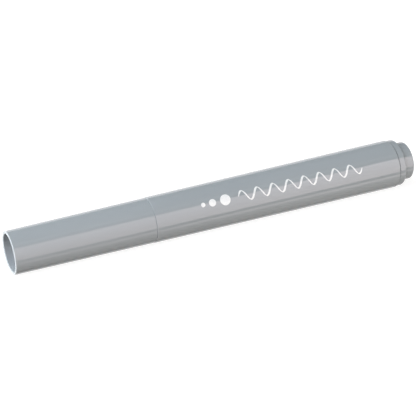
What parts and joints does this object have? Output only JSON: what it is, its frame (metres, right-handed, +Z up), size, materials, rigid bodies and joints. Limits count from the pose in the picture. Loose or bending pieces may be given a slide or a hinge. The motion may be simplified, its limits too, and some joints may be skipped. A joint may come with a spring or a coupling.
{
  "type": "felt tip marker",
  "caption": "Round tapered felt tip marker with an open-ended pull-off cap, fibre nib, ink reservoir and a rear plug with a stub.",
  "frame": {"origin": "centre of the bounding box, at its lowest height: below the middle of the axis, on the surface the marker lies on", "axes": "+X along the marker's axis, from the cap's open end to the rear stub; +Z up"},
  "size_m": [0.1346, 0.0154, 0.0155],
  "materials": {
    "grey_plastic": "glossy moulded plastic, cool grey",
    "liner_plastic": "natural white, satin",
    "holder_plastic": "natural white, smooth",
    "nib_fibre": "bonded fibre, stained with grey ink",
    "ink_fibre": "loose fibre soaked with grey ink",
    "wrap_film": "thin clear film",
    "white_print": "white pad print"
  },
  "bodies": {
    "body": {"barrel": "grey_plastic", "nib_holder": "holder_plastic", "nib": "nib_fibre", "reservoir_core": "ink_fibre", "reservoir_film": "wrap_film", "end_plug": "grey_plastic"},
    "cap": {"cap_shell": "grey_plastic", "cap_seal_cup": "liner_plastic"}
  },
  "joints": [
    {"name": "cap_pull", "type": "slide", "parent": "body", "child": "cap", "axis": [-1, 0, 0], "range_m": [0, 0.04]}
  ]
}
